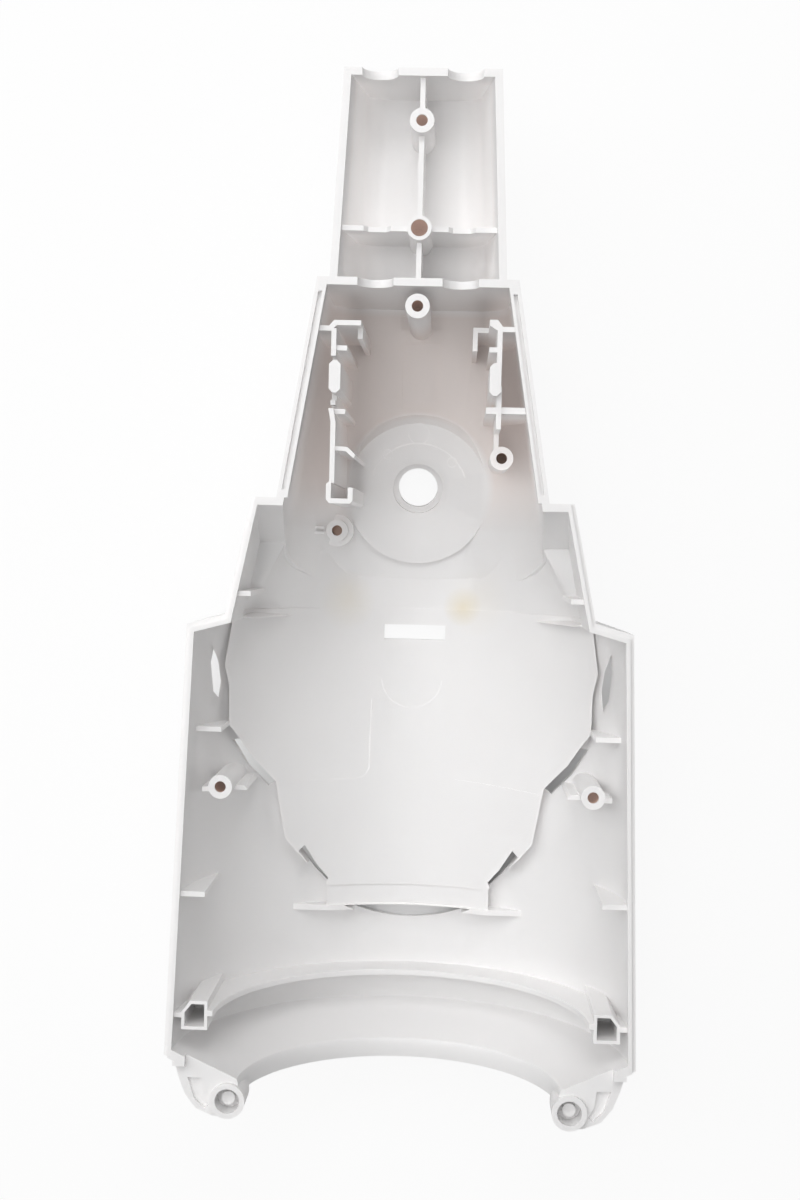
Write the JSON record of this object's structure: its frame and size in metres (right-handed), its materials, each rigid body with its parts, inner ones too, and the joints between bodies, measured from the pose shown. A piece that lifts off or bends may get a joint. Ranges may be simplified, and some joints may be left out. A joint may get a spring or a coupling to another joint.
{
  "type": "stick vacuum upper housing",
  "caption": "Moulded upper half shell of a stick vacuum body, with handle, switch housing, motor trough, internal ribs, screw bosses and a pivot pad.",
  "frame": {"origin": "under the middle of the outline, on the level of the lowest back surface, with the open side up", "axes": "+X across the shell, +Y along it towards the handle, +Z out of the open side"},
  "size_m": [0.1332, 0.295, 0.066],
  "materials": {
    "shell_plastic": "near-white moulded plastic with a fine satin surface"
  },
  "bodies": {
    "root": {"upper_housing": "shell_plastic"}
  },
  "joints": []
}
